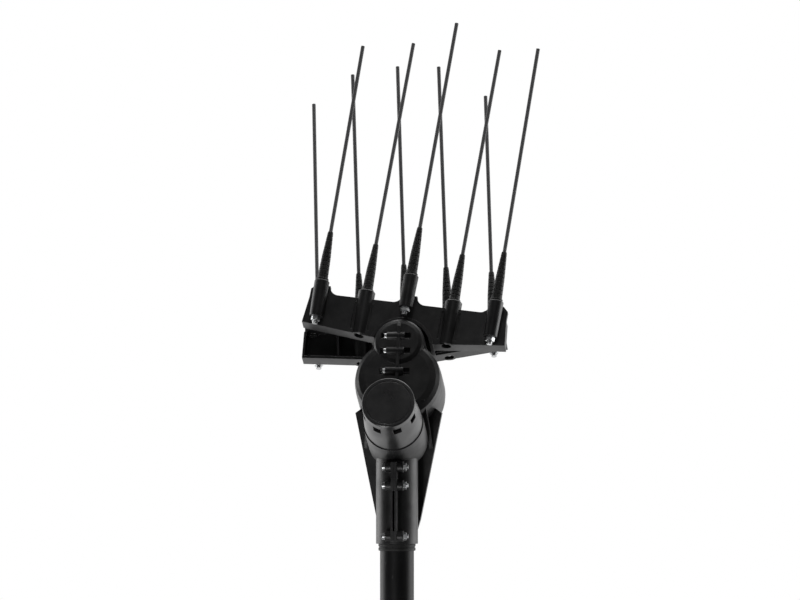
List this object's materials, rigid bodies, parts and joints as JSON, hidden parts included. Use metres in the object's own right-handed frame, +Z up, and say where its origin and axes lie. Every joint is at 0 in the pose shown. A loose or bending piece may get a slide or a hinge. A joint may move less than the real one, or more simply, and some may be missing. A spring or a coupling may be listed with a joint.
{
  "type": "electric olive harvester",
  "caption": "Electric olive harvester: two rocking combs of carbon rods on a leaning gear head with an external motor, clamped to a pole with a trigger handle.",
  "frame": {"origin": "on the pole's axis, where the pole leaves the lower end of the head's socket", "axes": "+Z up the pole, -Y to the motor and the picture's camera, +X to the picture's right"},
  "size_m": [0.2482, 0.3433, 1.2324],
  "materials": {
    "case_plastic": "moulded glass-filled nylon, fine satin texture",
    "zinc_steel": "bright zinc-plated steel",
    "motor_plastic": "smooth moulded plastic, light sheen",
    "cast_aluminium": "turned aluminium",
    "ferrite": "dull ferrite",
    "bearing_steel": "ground steel",
    "brush_board": "phenolic board",
    "carbon": "pressed carbon",
    "shaft_steel": "ground steel",
    "lamination_steel": "stacked sheet steel",
    "copper": "lacquered copper",
    "gear_nylon": "natural nylon",
    "bronze": "plain bronze",
    "comb_plastic": "moulded glass-filled nylon, satin",
    "carbon_rod": "pultruded carbon rod, satin",
    "boot_rubber": "moulded rubber",
    "pole_coating": "satin black coated aluminium tube",
    "grip_rubber": "moulded grip rubber",
    "wire_sheath": "cable sheath",
    "handle_plastic": "moulded plastic, satin",
    "switch_red": "moulded plastic"
  },
  "bodies": {
    "frame": {"left_shell": "case_plastic", "right_shell": "case_plastic", "case_screws": "zinc_steel", "clamp_bolts": "zinc_steel", "clamp_nuts": "zinc_steel", "motor_can": "motor_plastic", "motor_end_cap": "motor_plastic", "motor_front_plate": "cast_aluminium", "motor_magnets": "ferrite", "motor_bearings": "bearing_steel", "brush_ring": "brush_board", "carbon_brushes": "carbon", "crank_bearings": "bearing_steel", "pivot_shaft": "shaft_steel", "pivot_washers": "bronze", "pole_tube": "pole_coating", "pole_ring": "boot_rubber", "grip_sleeve": "grip_rubber", "terminal_block": "brush_board", "motor_wires": "wire_sheath", "power_lead": "wire_sheath", "handle_left": "handle_plastic", "handle_right": "handle_plastic", "handle_screws": "zinc_steel", "trigger_pin": "shaft_steel", "trigger_spring": "shaft_steel", "switch_body": "handle_plastic", "inlet_socket": "handle_plastic", "inlet_pins": "bronze"},
    "crank": {"crank_shaft": "shaft_steel", "drive_gear": "gear_nylon"},
    "near_roller": {"near_roller": "bearing_steel"},
    "far_roller": {"far_roller": "bearing_steel"},
    "rotor": {"rotor_shaft": "shaft_steel", "armature_core": "lamination_steel", "armature_windings": "copper", "commutator": "copper", "pinion": "bearing_steel"},
    "near_comb": {"near_comb": "comb_plastic", "near_rod_1": "carbon_rod", "near_rod_2": "carbon_rod", "near_rod_3": "carbon_rod", "near_rod_4": "carbon_rod", "near_rod_5": "carbon_rod", "near_boots": "boot_rubber", "near_studs": "zinc_steel", "near_nuts": "zinc_steel", "hub_washer": "bronze"},
    "far_comb": {"far_comb": "comb_plastic", "far_rod_1": "carbon_rod", "far_rod_2": "carbon_rod", "far_rod_3": "carbon_rod", "far_rod_4": "carbon_rod", "far_rod_5": "carbon_rod", "far_boots": "boot_rubber", "far_studs": "zinc_steel", "far_nuts": "zinc_steel"},
    "trigger": {"trigger": "handle_plastic"},
    "switch_button": {"switch_button": "switch_red"}
  },
  "joints": [
    {"name": "crank_turn", "type": "hinge", "parent": "frame", "child": "crank", "pos_m": [0, 0.04116, 0.14863], "axis": [0, -0.9135, 0.4067], "range_deg": [-124.4, 35.6]},
    {"name": "rotor_turn", "type": "hinge", "parent": "frame", "child": "rotor", "pos_m": [0, -0.032, 0.121], "axis": [0, -0.9135, 0.4067], "range_deg": [-80, 260]},
    {"name": "near_comb_swing", "type": "hinge", "parent": "frame", "child": "near_comb", "pos_m": [0, 0.05662, 0.18335], "axis": [0, 0.9135, -0.4067], "range_deg": [-17.9, 5.2]},
    {"name": "far_comb_swing", "type": "hinge", "parent": "frame", "child": "far_comb", "pos_m": [0, 0.05662, 0.18335], "axis": [0, 0.9135, -0.4067], "range_deg": [-4.3, 14.8]},
    {"name": "near_roller_turn", "type": "hinge", "parent": "crank", "child": "near_roller", "pos_m": [-0.00462, 0.04308, 0.15294], "axis": [0, -0.9135, 0.4067], "continuous": true},
    {"name": "far_roller_turn", "type": "hinge", "parent": "crank", "child": "far_roller", "pos_m": [0.00462, 0.03925, 0.14432], "axis": [0, -0.9135, 0.4067], "continuous": true},
    {"name": "trigger_pull", "type": "hinge", "parent": "frame", "child": "trigger", "pos_m": [0, -0.0125, -0.574], "axis": [1, 0, 0], "range_deg": [0, 6], "stiffness_Nm_per_rad": 0.6, "springref_deg": -6.88, "deforming": ["trigger_spring"]},
    {"name": "button_press", "type": "slide", "parent": "frame", "child": "switch_button", "axis": [0, 1, 0], "range_m": [0, 0.0046]}
  ],
  "couplings": [
    {"joint": "rotor_turn", "follows": "crank_turn", "ratio": -2.0556},
    {"joint": "near_comb_swing", "follows": "crank_turn", "ratio": 0.143},
    {"joint": "far_comb_swing", "follows": "crank_turn", "ratio": -0.118},
    {"joint": "button_press", "follows": "trigger_pull", "m_per_rad": 0.042}
  ]
}
